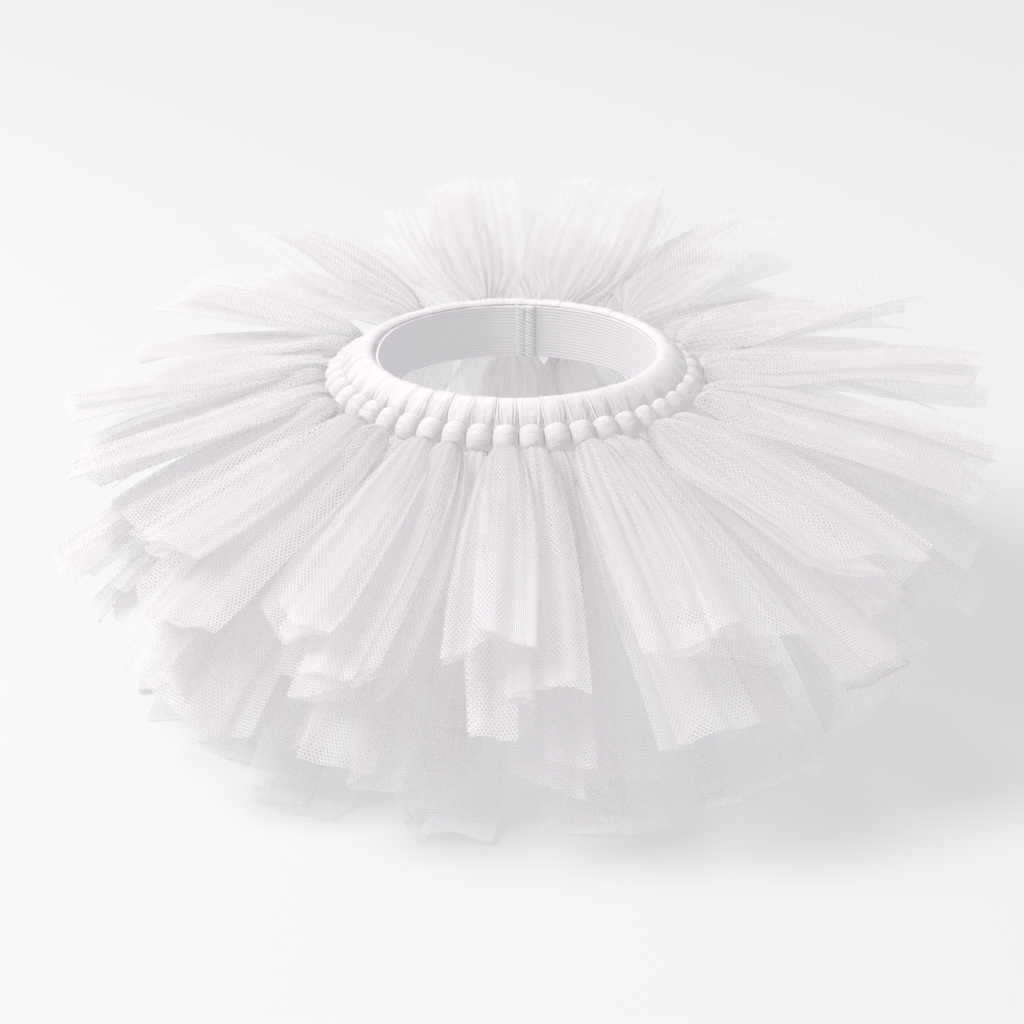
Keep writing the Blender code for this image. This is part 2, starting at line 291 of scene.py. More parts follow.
# --- Camera and light ------------------------------------------------------------------------------
FRAME_PIXELS = 1024
SENSOR = 36.0
FOCAL_PIXELS = 2847
CAMERA_DISTANCE = 1.300
CAMERA_ELEVATION = 19.5
AIM_PIXEL = (515, 348)  # where the middle of the rim shows
FARTHEST = 50  # that the camera sees
SKY_LOW, SKY_OVERHEAD = 0.55, 1.10  # strength
SKY_COLOUR = (1.0, 0.995, 1.0, 1.0)
KEY_PLACE, KEY_TARGET = (-2.4, -0.4, 2.8), (0, 0, 0.05)
KEY_SIZE, KEY_POWER, KEY_COLOUR = 2.0, 62, (1.0, 0.99, 0.98)
FLOOR_REACH = 8
AMBIENT_REACH = 0.0003  # how near a surface has to be to shade its neighbour after the first bounce


# --- Shapes of the solids --------------------------------------------------------------------------
def direction(droop):
    """The unit vector (outwards, upwards) of a droop."""
    return math.cos(math.radians(droop)), -math.sin(math.radians(droop))


def normal(droop):
    """The unit vector square to direction(droop), on the cloth's outer side."""
    return math.sin(math.radians(droop)), math.cos(math.radians(droop))


def moved(point, droop, along=0.0, out=0.0):
    """point (radius, height) moved along a droop, and out on its normal."""
    ahead, up = direction(droop), normal(droop)
    return (
        point[0] + along * ahead[0] + out * up[0],
        point[1] + along * ahead[1] + out * up[1],
    )


def top_droop(azimuth):
    """The droop of the uppermost tails."""
    angle = math.radians(azimuth)
    droop = TOP_DROOP_SIDE + TOP_DROOP_SWING * math.cos(angle) - TOP_DROOP_TILT * math.sin(angle)
    return droop + sum(wave.depth * math.sin(wave.times * angle + wave.phase) for wave in WAVES)


def tail_droops(kind, azimuth):
    """The droops of a strip's upper and lower tails."""
    top = top_droop(azimuth)
    lowest = math.degrees(math.atan2(KNOT_HEIGHT, LANDING_RADIUS - KNOT_RADIUS))
    upper = top + (lowest - top) * kind.upper
    lower = top + (lowest - top) * kind.lower
    if kind.lower == 1.0:
        return max(upper, lower - WIDEST_FORK), lower
    return upper, min(lower, upper + WIDEST_FORK)


Tail = namedtuple("Tail", "start azimuth droop length lands wide lean slant side")


def tail_plan(start, azimuth, droop, length, lands, chance):
    """A solid tail's numbers, drawn in the same order as for the solids."""
    if lands:
        run, fall = LANDING_RADIUS - start[0], start[1] - CLOTH / 2
        droop = math.degrees(math.atan2(fall, run))
        half_turn = math.radians(TAIL_ARCH)
        length = math.hypot(run, fall) * half_turn / math.sin(half_turn)
    else:
        droop += chance.uniform(-DROOP_SPREAD, DROOP_SPREAD)
        length += chance.uniform(-LENGTH_SPREAD, LENGTH_SPREAD)
        length += LENGTH_TILT * math.sin(math.radians(azimuth))
    wide = 1 + chance.uniform(-WIDTH_SPREAD, WIDTH_SPREAD)
    lean = chance.uniform(-LEAN_SPREAD, LEAN_SPREAD)
    slant = chance.uniform(-SLANT_SPREAD, SLANT_SPREAD)
    side = chance.choice((-1, 1))
    return Tail(start, azimuth, droop, length, lands, wide, lean, slant, side)


Strip = namedtuple("Strip", "name azimuth neck_droop upper lower")


def strip_plans():
    """Every solid strip's numbers."""
    chance = random.Random(SOLID_SEED)
    plans = []
    for index in range(STRIP_COUNT):
        kind = KINDS[index % len(KINDS)]
        azimuth = FIRST_AZIMUTH + index * STRIP_PITCH
        upper_droop, lower_droop = tail_droops(kind, azimuth)
        neck_droop = (upper_droop + lower_droop) / 2
        middle = moved((KNOT_RADIUS, KNOT_HEIGHT), neck_droop, KNOT_TO_NECK, kind.lift)
        upper_start = moved(middle, neck_droop, out=TAIL_OFFSET)
        lower_start = moved(middle, neck_droop, out=-TAIL_OFFSET)
        upper = tail_plan(upper_start, azimuth, upper_droop, kind.upper_length, False, chance)
        lands = kind.lower == 1.0
        lower = tail_plan(lower_start, azimuth, lower_droop, kind.lower_length, lands, chance)
        plans.append(Strip(f"tulle_strip_{index + 1:02d}", azimuth, neck_droop, upper, lower))
    return plans


# --- Meshes from grids of points -------------------------------------------------------------------
class Build:
    """Gathers the grids of one piece: points, faces, cloth coordinates in metres, and material slots."""

    def __init__(self):
        self.points, self.faces, self.cloth, self.slots = [], [], [], []
        self.count = 0

    def grid(self, points, cloth, slot, close_across=False, caps=False):
        """Adds a grid of rows by columns of points. cloth has the same shape, with two numbers a point."""
        rows, columns = points.shape[:2]
        index = np.arange(rows * columns).reshape(rows, columns) + self.count
        here, right = index[:-1, :-1], index[:-1, 1:]
        if close_across:
            here, right = index[:-1], np.roll(index, -1, axis=1)[:-1]
        below = here + columns
        below_right = right + columns
        quads = np.stack([here, below, below_right, right], axis=-1).reshape(-1, 4)
        self.faces += quads.tolist()
        self.slots += [slot] * len(quads)
        if caps:
            self.faces += [index[0].tolist(), index[-1][::-1].tolist()]
            self.slots += [slot] * 2
        self.points.append(points.reshape(-1, 3))
        self.cloth.append(cloth.reshape(-1, 2))
        self.count += rows * columns

    def piece(self, name, materials):
        """The piece, in the scene, with its cloth coordinates as a UV map."""
        mesh = bpy.data.meshes.new(name)
        mesh.from_pydata(np.concatenate(self.points).tolist(), [], self.faces)
        corners = np.empty(len(mesh.loops), np.int32)
        mesh.loops.foreach_get("vertex_index", corners)
        cloth = mesh.uv_layers.new(name="cloth")
        cloth.uv.foreach_set("vector", np.concatenate(self.cloth)[corners].astype(np.float32).ravel())
        for material in materials:
            mesh.materials.append(material)
        mesh.polygons.foreach_set("material_index", np.array(self.slots, np.int32))
        mesh.polygons.foreach_set("use_smooth", np.ones(len(mesh.polygons), bool))
        mesh.update()
        piece = bpy.data.objects.new(name, mesh)
        bpy.context.scene.collection.objects.link(piece)
        return piece


def placed(radius, height, azimuth, sideways, axis):
    """Points in space of (radius, height) at an azimuth, moved sideways round the waist's axis."""
    angle = np.radians(azimuth) + sideways / radius
    return np.stack(
        [axis[0] + radius * np.sin(angle), axis[1] - radius * np.cos(angle), height + 0 * angle], axis=-1
    )


def stepped(table, share):
    """A number at each share, from a table of (share, number)."""
    return np.interp(share, [row[0] for row in table], [row[1] for row in table])


def smooth_step(low, high, share):
    """0 below low, 1 above high, and smooth between."""
    part = np.clip((share - low) / (high - low), 0, 1)
    return part * part * (3 - 2 * part)


# --- Tails -----------------------------------------------------------------------------------------
def centre_line(tail):
    """The middle of a tail from inside the knot to its hem: distances, radii, heights, and normals."""
    shares = np.linspace(TAIL_START, 1, CENTRE_STEPS)
    half_turned = np.radians(TAIL_ARCH) * shares
    chord = tail.length * shares * np.sinc(half_turned / np.pi)
    angle = np.radians(tail.droop - TAIL_ARCH) + half_turned
    radius = tail.start[0] + chord * np.cos(angle)
    height = tail.start[1] - chord * np.sin(angle)
    step = tail.length * (shares[1] - shares[0])
    if tail.lands:
        steps = math.ceil(FOOT_LENGTH * FOOT_RUN / step)
        radius = np.append(radius, LANDING_RADIUS + step * np.arange(1, steps + 1))
        height = np.append(height, np.full(steps, CLOTH / 2))
        for _ in range(CORNER_ROUNDS):
            for line in (radius, height):
                line[1:-1] = (line[:-2] + 2 * line[1:-1] + line[2:]) / 4
    distance = tail.length * TAIL_START + step * np.arange(len(radius))
    ahead = np.stack([np.gradient(radius), np.gradient(height)])
    ahead /= np.linalg.norm(ahead, axis=0)
    return distance, radius, height, -ahead[1], ahead[0]


def zigzag(half_width, chance):
    """The turning places of a folded width of cloth, as shares of its half width at the hem, from the top
    layer's cut edge to the bottom layer's: the best of some random ones."""
    cloth = STRIP_WIDTH / half_width
    best, least = None, math.inf
    for _ in range(ZIGZAG_TRIES):
        stops = [chance.uniform(-1.0, 1.0)]
        way = -1 if stops[0] > 0 else 1
        for _ in range(chance.randint(*TURNS)):
            step = min(chance.uniform(*LAYER_SPAN), 1.0 - way * stops[-1])
            stops.append(stops[-1] + way * step)
            way = -way
        spans = [abs(after - before) for before, after in zip(stops, stops[1:])]
        fault = abs(sum(spans) - cloth) + 2 * max(0, LAYER_SPAN[0] - min(spans))
        fault += 2 * max(0, 1 + min(stops)) + 2 * max(0, 1 - max(stops))
        if fault < least:
            best, least = stops, fault
    return best


def fold_columns(half_width, chance):
    """The columns across a folded tail, as rows of an array: place beside the knot and at the hem, as shares
    of the half width; height at the hem in metres; bulge of a fold; layer, counted down from the top; place
    in the cloth's width in metres; how far the cut end lies out; and place within the layer."""
    far = zigzag(half_width, chance)
    near = [math.copysign(min(1.0, KNOT_SPREAD[0] + KNOT_SPREAD[1] * abs(stop)), stop) for stop in far]
    rises = [0.0]
    for _ in far[1:]:
        drop = WEB_DROP if chance.random() < WEB_CHANCE else DROP
        rises.append(rises[-1] - chance.uniform(*drop))
    middle = (max(rises) + min(rises)) / 2
    rises = [rise - middle for rise in rises]
    ends = [chance.uniform(-HEM_UNEVEN, HEM_UNEVEN) for _ in far]
    columns = []
    for layer in range(len(far) - 1):
        count = max(FEWEST_COLUMNS, round(abs(far[layer + 1] - far[layer]) * half_width / COLUMN_WIDTH) + 1)
        for place in np.linspace(0, 1, count):
            parts = [np.array((near[i], far[i], rises[i], 0.0, layer, ends[i])) for i in (layer, layer + 1)]
            columns.append((*(parts[0] + (parts[1] - parts[0]) * place), place))
        if layer + 2 < len(far):
            outwards = 1 if far[layer + 1] > far[layer] else -1
            for turn in FOLD_TURNS:
                rise = rises[layer + 1] - FOLD_GAP / 2 * (1 - math.cos(math.radians(turn)))
                bulge = outwards * FOLD_GAP / 2 * math.sin(math.radians(turn))
                fold = (near[layer + 1], far[layer + 1], rise, bulge, layer + turn / 180, ends[layer + 1], 0)
                columns.append(fold)
            rises[layer + 1] -= FOLD_GAP
    near, far, rise, bulge, layer, end, place = np.array(columns).T
    run = np.hypot(np.diff(far * half_width + bulge), np.diff(rise))
    across = np.append(0, np.cumsum(run))
    return near, far, rise, bulge, layer, across, end, place


def tail_cloth(build, tail, upward, axis, chance):
    """A tail's net: one width of cloth, folded in a few uneven layers that fan out from the knot. upward is
    1 for a strip's upper tail and -1 for its lower one."""
    distance, radii, heights, out_across, out_up = centre_line(tail)
    broad = tail.wide * (1 + BACK_WIDTH * abs(math.sin(math.radians(tail.azimuth / 2))))
    if tail.lands:
        broad *= LANDING_WIDTH
    broad = min(broad, WIDEST)
    slim = chance.uniform(*SLIM)
    if tail.lands:
        slim = (1 + slim) / 2
    hem_half_width = HALF_WIDTHS[-1][1] * broad * slim
    near, far, rise, bulge, layer, across, end, place = fold_columns(hem_half_width, chance)

    reach = 1 + end / tail.length
    if tail.lands:
        reach += (FOOT_LENGTH * chance.uniform(*FOOT_SHARE) + end) / tail.length
    else:
        reach += tail.slant * far / tail.length + chance.uniform(*LENGTH_SHARE) - 1
    rows = np.linspace(0, 1, TAIL_ROWS)[:, None] ** ROW_EASE
    share = TAIL_START + (reach[None, :] - TAIL_START) * rows
    inside = np.clip(share, 0, 1)

    half = stepped(HALF_WIDTHS, share) * (1 + (broad - 1) * smooth_step(*WIDENED, share))
    half = half * (1 - (1 - slim) * smooth_step(SLIM_FROM, 1.0, share))
    edge = near + (far - near) * inside**WIDTH_EASE
    sideways = half * edge + bulge * inside

    loose = 1 - FLATTENED * smooth_step(*FLATTENING, share) if tail.lands else np.ones_like(share)
    pleat = stepped(PLEATS, share)
    layers = layer.max()
    out = stepped(STACK, share) * (layers / 2 - layer) + rise * inside**RISE_EASE * loose
    out = out + upward * stepped(CROWN, share) * (1 - edge**2)
    out = out + pleat * tail.side * PLEAT_SHARE * np.cos(2 * np.pi * edge) * loose
    out = out + SHINGLE * sideways * (1 - smooth_step(*SHINGLE_OUT, share)) * smooth_step(*SHINGLE_IN, share)
    twist = chance.uniform(-TWIST, TWIST)
    sway, phase = chance.uniform(-SWAY, SWAY), chance.random()
    out = out + sideways * twist * inside * loose
    out = out + sway * np.sin(2 * np.pi * (SWAY_TURNS * share + phase)) * inside * loose
    stray = RIPPLES_UNEVEN * np.sin(2 * np.pi * (across / RIPPLE_STRAY + chance.random()))
    gather = across / RIPPLE_WIDTH + stray + chance.random()
    out = out + stepped(RIPPLE_DEPTH, share) * np.sin(2 * np.pi * gather)
    for which in range(int(layers) + 1):
        swell = chance.uniform(*(TOP_SWELL if which == 0 else SWELL))
        hump = np.where(np.abs(layer - which) < 1e-9, np.sin(np.pi * place), 0.0)
        out = out + swell * hump * inside**2 * loose
    if not tail.lands and chance.random() < LIFT_CHANCE:
        corner, lift = chance.choice((-1, 1)), chance.uniform(*LIFT) * chance.choice(LIFT_WAYS)
        past = np.clip((share - LIFT_FROM) / LIFT_RUN, 0, 1.2)
        out = out + lift * past**2 * np.clip(LIFT_LEVEL + LIFT_TILT * corner * edge, 0, 1) ** 2

    at = np.clip(share * tail.length, distance[0], distance[-1])
    radius = np.interp(at, distance, radii) + out * np.interp(at, distance, out_across)
    up = np.interp(at, distance, heights) + out * np.interp(at, distance, out_up)
    up = np.maximum(up, LEAST_HEIGHT * (1 + layers - layer))
    azimuth = tail.azimuth + LEAN_SHARE * tail.lean * inside**LEAN_CURVE
    points = placed(radius, up, azimuth, sideways, axis)
    along = share * tail.length
    cloth = np.stack([np.broadcast_to(across, along.shape), along], axis=-1)
    cloth = cloth + np.array([chance.random(), chance.random()]) * NET_PITCH * NET_SHIFT
    build.grid(points, cloth, 0)
    return tail.length * float(np.mean(reach))


# --- Loops and knots -------------------------------------------------------------------------------
def eased(rows, count):
    """Rows of numbers again, count of them, on a smooth line through the given ones."""
    at = np.linspace(0, len(rows) - 1, count)
    low = np.clip(at.astype(int), 0, len(rows) - 2)
    part = (at - low)[:, None]
    slope = np.gradient(rows, axis=0)
    a, b, sa, sb = rows[low], rows[low + 1], slope[low], slope[low + 1]
    square, cube = part**2, part**3
    return (
        (2 * cube - 3 * square + 1) * a
        + (cube - 2 * square + part) * sa
        + (3 * square - 2 * cube) * b
        + (cube - square) * sb
    )


def loop_cloth(build, strip, axis, chance):
    """The gathered net that comes over the rim and narrows down to the knot, with its fine wrinkles."""
    stations = np.array(LOOP)
    stations[:, 0] += ELASTIC_RADIUS + ELASTIC_THICK + SEAM_GAP
    stations[:, 1] += RIM_HEIGHT
    rows = eased(stations, LOOP_ROWS)
    outer, fill, thick, square = rows[:, 0:2], rows[:, 2:3], rows[:, 3:4], rows[:, 4:5]
    ahead = np.gradient(outer, axis=0)
    ahead /= np.linalg.norm(ahead, axis=1)[:, None]
    inward = np.stack([ahead[:, 1], -ahead[:, 0]], axis=1)

    face = np.linspace(0, np.pi, LOOP_FACE)
    back = np.linspace(np.pi, 2 * np.pi, LOOP_BACK + 2)[1:-1]
    turn = np.concatenate([face, back])
    cos, sin = np.cos(turn), np.sin(turn)
    across = np.sign(cos) * np.abs(cos) ** square
    through = np.sign(sin) * np.abs(sin) ** square
    down = np.linspace(0, 1, LOOP_ROWS)[:, None]
    depth = np.zeros((LOOP_ROWS, len(turn)))
    for times, size in GATHERS:
        drift, start = chance.uniform(-GATHER_DRIFT, GATHER_DRIFT), chance.random()
        count = times * chance.uniform(*GATHER_SPREAD)
        size_of_bend = chance.uniform(*GATHER_BEND)
        bend = size_of_bend * np.sin(2 * np.pi * (across * GATHER_BEND_TURNS + chance.random()))
        fades = chance.uniform(*GATHER_FADES)
        fade = 0.6 + 0.4 * np.sin(2 * np.pi * (down * fades + chance.random()))
        wave = np.abs(np.sin(np.pi * (count * across / 2 + bend + drift * down + start))) - 0.6
        depth += 2 * size * fade * wave
    clear = 0.25 + 0.75 * smooth_step(*GATHERS_CLEAR, down)
    depth *= np.where(sin > 0, np.minimum(1, sin * 4), 0.0) * clear
    size = chance.uniform(*LOOP_SIZES)
    sunk = thick / 2 * (1 - through) * size - depth - chance.uniform(0.0, LOOP_PROUD)
    radius = outer[:, 0:1] + inward[:, 0:1] * sunk
    height = outer[:, 1:2] + inward[:, 1:2] * sunk
    shove = chance.uniform(-LOOP_SHOVE, LOOP_SHOVE) * np.sin(np.pi * down)
    sideways = across * fill * size * radius * math.pi / STRIP_COUNT + shove
    points = placed(radius, height, strip.azimuth, sideways, axis)
    length = np.append(0, np.cumsum(np.linalg.norm(np.diff(outer, axis=0), axis=1)))[:, None]
    cloth = np.stack([across * LOOP_CLOTH / 2 + 0 * length, length + 0 * across], axis=-1)
    build.grid(points, cloth + chance.random() * NET_PITCH * NET_SHIFT, 1, close_across=True, caps=True)


def knot_cloth(build, strip, axis, chance):
    """The knot: the strip's loop drawn tight round its own tails, in rounded wraps."""
    place = np.sin(np.linspace(-np.pi / 2, np.pi / 2, KNOT_ALONG))[:, None]
    along = KNOT_TOP + (KNOT_BOTTOM - KNOT_TOP) * (place + 1) / 2
    turn = np.linspace(0, 2 * np.pi, KNOT_AROUND, endpoint=False)[None, :]
    barrel = KNOT_END + (1 - KNOT_END) * np.sqrt(np.clip(1 - np.abs(place) ** KNOT_POWER, 0, 1))
    across, through = np.cos(turn), np.sin(turn)
    slant = chance.uniform(*WRAP_SLANT) * chance.choice(WRAP_WAYS)
    start, curve = chance.random(), chance.uniform(*WRAP_CURVE)
    level = along / WRAP_PITCH + slant * across + curve * across**2 + start
    level = level + WRAP_WAVE * np.sin(2 * np.pi * (across * WRAP_WAVE_TURNS + start) + 2 * place)
    wrap = np.abs(np.sin(np.pi * level)) ** 0.7 - 0.65
    uneven = 0.5 + 0.5 * np.sin(2 * np.pi * (chance.random() + 0.37 * np.floor(level)))
    grow = 1 + wrap * (0.6 + 0.4 * uneven) * WRAP_DEPTH / KNOT_CROWN * (1 - place**6)
    size = chance.uniform(*KNOT_SIZES)
    half_width = KNOT_HALF_WIDTH * barrel * grow * size
    half_thick = KNOT_CROWN * barrel * grow * size
    lower_droop = (LOOP_DROOP + strip.neck_droop) / 2
    droop = np.radians(LOOP_DROOP + (lower_droop - LOOP_DROOP) * smooth_step(*KNOT_BEND, along))
    middle_radius = KNOT_RADIUS + along * np.cos(droop)
    middle_height = KNOT_HEIGHT - along * np.sin(droop)
    radius = middle_radius + half_thick * through * np.sin(droop)
    height = middle_height + half_thick * through * np.cos(droop)
    sideways = across * half_width * radius / middle_radius
    points = placed(radius, height, strip.azimuth, sideways, axis)
    around = turn * KNOT_CROWN + 0 * along
    wraps = level * WRAP_PITCH + 0 * turn
    cloth = np.stack([wraps, around], axis=-1)
    build.grid(points, cloth + chance.random() * NET_PITCH * NET_SHIFT, 1, close_across=True, caps=True)


# --- Elastic and stitches --------------------------------------------------------------------------
def elastic_inner_radius(azimuth):
    """The elastic's inner face: one end laps over the other, steps down, and runs back on the other side."""
    lapped = ELASTIC_RADIUS - ELASTIC_THICK
    ramp = (azimuth - LAP_END) / (LAP_RAMP_END - LAP_END)
    radius = np.where(azimuth < LAP_RAMP_END, lapped + ELASTIC_THICK * np.clip(ramp, 0, 1), ELASTIC_RADIUS)
    step = smooth_step(LAP_START - LAP_EDGE, LAP_START, azimuth)
    return ELASTIC_RADIUS + (radius - ELASTIC_RADIUS) * step


def elastic_bow(azimuth):
    """How far the elastic's top edge leans inwards."""
    from_bow = (azimuth - BOW_AZIMUTH + 180) % 360 - 180
    return BOW_DEPTH * np.exp(-((from_bow / BOW_SPREAD) ** 2))


def rib_relief(up):
    """The elastic's ribs, as a height on its face. up is from 0 at its bottom edge to 1 at its top."""
    ribs = np.abs(np.sin(np.pi * RIBS * up)) ** RIB_POWER - 0.6
    calm = 1 - CALM * np.exp(-(((up - CALM_UP) / CALM_SPREAD) ** 2))
    return RIB_DEPTH * ribs * calm


def elastic_piece(axis, material):
    """The waistband with its ribs, thicker where its ends lap."""
    top = RIM_HEIGHT - ELASTIC_BELOW_RIM
    azimuths = np.linspace(0, 360, BAND_AROUND, endpoint=False)
    extra = [LAP_START - LAP_EDGE, LAP_START, LAP_END, LAP_RAMP_END]
    azimuths = np.unique(np.append(azimuths, extra))[:, None]
    up = np.linspace(0, 1, BAND_UP)
    rounding = np.minimum(1, np.minimum(up, 1 - up) / EDGE_SHARE)
    relief = rib_relief(up)
    height = top - ELASTIC_WIDTH * (1 - up)
    bow = elastic_bow(azimuths) * up**BOW_CURVE
    inner = elastic_inner_radius(azimuths) + EDGE_ROUND * (1 - rounding) - relief - bow
    outer = ELASTIC_RADIUS + ELASTIC_THICK - EDGE_ROUND * (1 - rounding) - bow + 0 * azimuths
    plain = np.unique(np.append(np.arange(0, BAND_UP, PLAIN_STEP), BAND_UP - 1))[::-1]
    radius = np.concatenate([inner, outer[:, plain]], axis=1)
    height = np.concatenate([height, height[plain]]) + 0 * azimuths
    points = placed(radius, height, azimuths, 0.0, axis)
    points = np.concatenate([points, points[:1]])
    across = np.radians(np.append(azimuths, 360.0))[:, None] * ELASTIC_RADIUS
    cloth = np.stack([across + 0 * points[:, :, 2], points[:, :, 2]], axis=-1)
    build = Build()
    build.grid(points, cloth, 0, close_across=True)
    return build.piece("elastic_waistband", [material])


def stitch_piece(axis, material):
    """Two columns of slanted stitches that hold the elastic's lapped ends."""
    chance = random.Random(FOLD_SEED)
    build = Build()
    top = RIM_HEIGHT - ELASTIC_BELOW_RIM
    ends = np.linspace(-1, 1, 9)[:, None]
    turn = np.linspace(0, 2 * np.pi, 10, endpoint=False)[None, :]
    for azimuth in STITCH_COLUMNS:
        for index in range(STITCHES):
            place = index + STITCH_FROM + chance.uniform(-STITCH_STRAY, STITCH_STRAY)
            height = top - ELASTIC_WIDTH * place / (STITCHES + STITCH_SPARE)
            lean = math.radians(STITCH_LEAN + chance.uniform(-STITCH_LEAN_SPREAD, STITCH_LEAN_SPREAD))
            length = STITCH_LENGTH * chance.uniform(*STITCH_SPREAD)
            round_end = np.sqrt(np.clip(1 - np.abs(ends) ** 4, 0.02, 1))
            thick = STITCH_RADIUS * round_end
            sunk = STITCH_SINK * ends**2
            run = ends * length / 2
            side = run * math.cos(lean) - thick * np.cos(turn) * math.sin(lean)
            rise = run * math.sin(lean) + thick * np.cos(turn) * math.cos(lean)
            face = float(elastic_inner_radius(np.array(azimuth)))
            radius = face - RIB_DEPTH * 0.3 + sunk - thick * (np.sin(turn) * 0.9)
            points = placed(radius, height + rise, azimuth, side, axis)
            cloth = np.stack([turn * STITCH_RADIUS + 0 * run, run + 0 * turn], axis=-1)
            build.grid(points, cloth, 0, close_across=True, caps=True)
    return build.piece("lap_stitches", [material])


# --- Materials -------------------------------------------------------------------------------------
def node(tree, kind, inputs=None, **settings):
    """A shader node with its settings, and its inputs as values or as sockets to link."""
    made = tree.nodes.new(kind)
    for name, value in settings.items():
        setattr(made, name, value)
    for key, value in (inputs or {}).items():
        if isinstance(value, bpy.types.NodeSocket):
            tree.links.new(value, made.inputs[key])
        else:
            made.inputs[key].default_value = value
    return made


def math_node(tree, operation, *values):
    """The output of a Math node."""
    return node(tree, "ShaderNodeMath", dict(enumerate(values)), operation=operation).outputs[0]


def vector_node(tree, operation, *values):
    """The output of a Vector Math node."""
    made = node(tree, "ShaderNodeVectorMath", dict(enumerate(values)), operation=operation)
    return made.outputs["Value" if operation == "LENGTH" else "Vector"]


def ramp_between(tree, value, low, high, to_low=0.0, to_high=1.0):
    """value, from low to high, as a smooth step."""
    inputs = {"Value": value, "From Min": low, "From Max": high, "To Min": to_low, "To Max": to_high}
    return node(tree, "ShaderNodeMapRange", inputs, interpolation_type="SMOOTHSTEP").outputs["Result"]


def noise(tree, vector, scale, detail=2.0):
    """The grey output of a noise."""
    inputs = {"Vector": vector, "Scale": scale, "Detail": detail}
    return node(tree, "ShaderNodeTexNoise", inputs).outputs["Fac"]


def blank_material(name):
    """A material with an empty node tree, its cloth coordinates, and its output."""
    material = bpy.data.materials.new(name)
    material.use_nodes = True
    tree = material.node_tree
    tree.nodes.clear()
    cloth = node(tree, "ShaderNodeUVMap", uv_map="cloth").outputs["UV"]
    return material, tree, cloth, node(tree, "ShaderNodeOutputMaterial")


def hole_distance(tree, cloth):
    """The distance to the nearest hole's middle, in pitches, on a net of six-sided holes."""
    tall = math.sqrt(3)
    cell = vector_node(tree, "MULTIPLY", cloth, (1 / NET_PITCH, 1 / NET_PITCH / tall, 0.0))
    lengths = []
    for shift in ((0.0, 0.0, 0.0), (0.5, 0.5, 0.0)):
        part = vector_node(tree, "FRACTION", vector_node(tree, "ADD", cell, shift))
        part = vector_node(tree, "SUBTRACT", part, (0.5, 0.5, 0.0))
        lengths.append(vector_node(tree, "LENGTH", vector_node(tree, "MULTIPLY", part, (1.0, tall, 0.0))))
    return math_node(tree, "MINIMUM", *lengths)


def tinted(tree, value, colour, darker):
    """colour, and a share of it where value is 0."""
    dark = [part * darker for part in colour[:3]] + [1.0]
    return node(tree, "ShaderNodeMix", {0: value, 6: dark, 7: colour}, data_type="RGBA").outputs[2]


def net_material():
    """Soft tulle: threads round six-sided holes, partly see-through, and light through from behind."""
    material, tree, cloth, output = blank_material("tulle_net")
    away = hole_distance(tree, cloth)
    thread = ramp_between(tree, away, HOLE_RADIUS - HOLE_EDGE, HOLE_RADIUS + HOLE_EDGE)
    soft = noise(tree, cloth, NET_CLOUDS, 0.0)
    colour = tinted(tree, soft, NET_COLOUR, darker=0.97)
    rough = math_node(tree, "ADD", math_node(tree, "MULTIPLY", soft, 0.15), 0.68)
    bump = node(tree, "ShaderNodeBump", {"Height": soft, "Strength": 0.15, "Distance": 0.001})
    front = node(
        tree,
        "ShaderNodeBsdfPrincipled",
        {"Base Color": colour, "Roughness": rough, "Specular IOR Level": 0.3, "Normal": bump.outputs[0]},
    )
    through = node(tree, "ShaderNodeBsdfTranslucent", {"Color": colour})
    shares = {0: LIGHT_THROUGH, 1: front.outputs[0], 2: through.outputs[0]}
    cloth_shader = node(tree, "ShaderNodeMixShader", shares)
    clear = node(tree, "ShaderNodeBsdfTransparent")
    holes = {0: thread, 1: clear.outputs[0], 2: cloth_shader.outputs[0]}
    mixed = node(tree, "ShaderNodeMixShader", holes)
    tree.links.new(mixed.outputs[0], output.inputs["Surface"])
    return material


def gathered_material():
    """Tulle drawn together in a loop or knot: close threads, slits and fine streaks, with painted shade in the
    slits and grooves.
    """
    material, tree, cloth, output = blank_material("tulle_gathered")
    squeezed = vector_node(tree, "MULTIPLY", cloth, SQUEEZE)
    away = hole_distance(tree, squeezed)
    thread = ramp_between(tree, away, 0.10, 0.50)
    streaks = noise(tree, vector_node(tree, "MULTIPLY", cloth, STREAKS), 1.0, 3.0)
    relief = math_node(tree, "ADD", math_node(tree, "MULTIPLY", thread, 0.5), streaks)
    bump = node(tree, "ShaderNodeBump", {"Height": relief, "Strength": 0.5, "Distance": 0.00022})
    # painted shade: the colour is darkened in the slits between the threads and in the low grooves between the
    # streaks
    lines = ramp_between(tree, streaks, 0.38, 0.60)
    threads = math_node(tree, "MULTIPLY", thread, 0.45)
    shade = math_node(tree, "ADD", threads, math_node(tree, "MULTIPLY", lines, 0.55))
    colour = tinted(tree, shade, GATHERED_SHADED_COLOUR, darker=0.87)
    rough = math_node(tree, "ADD", math_node(tree, "MULTIPLY", streaks, 0.2), 0.65)
    front = node(
        tree,
        "ShaderNodeBsdfPrincipled",
        {
            "Base Color": colour,
            "Roughness": rough,
            "Specular IOR Level": 0.3,
            "Sheen Weight": 0.25,
            "Normal": bump.outputs[0],
        },
    )
    tree.links.new(front.outputs[0], output.inputs["Surface"])
    return material


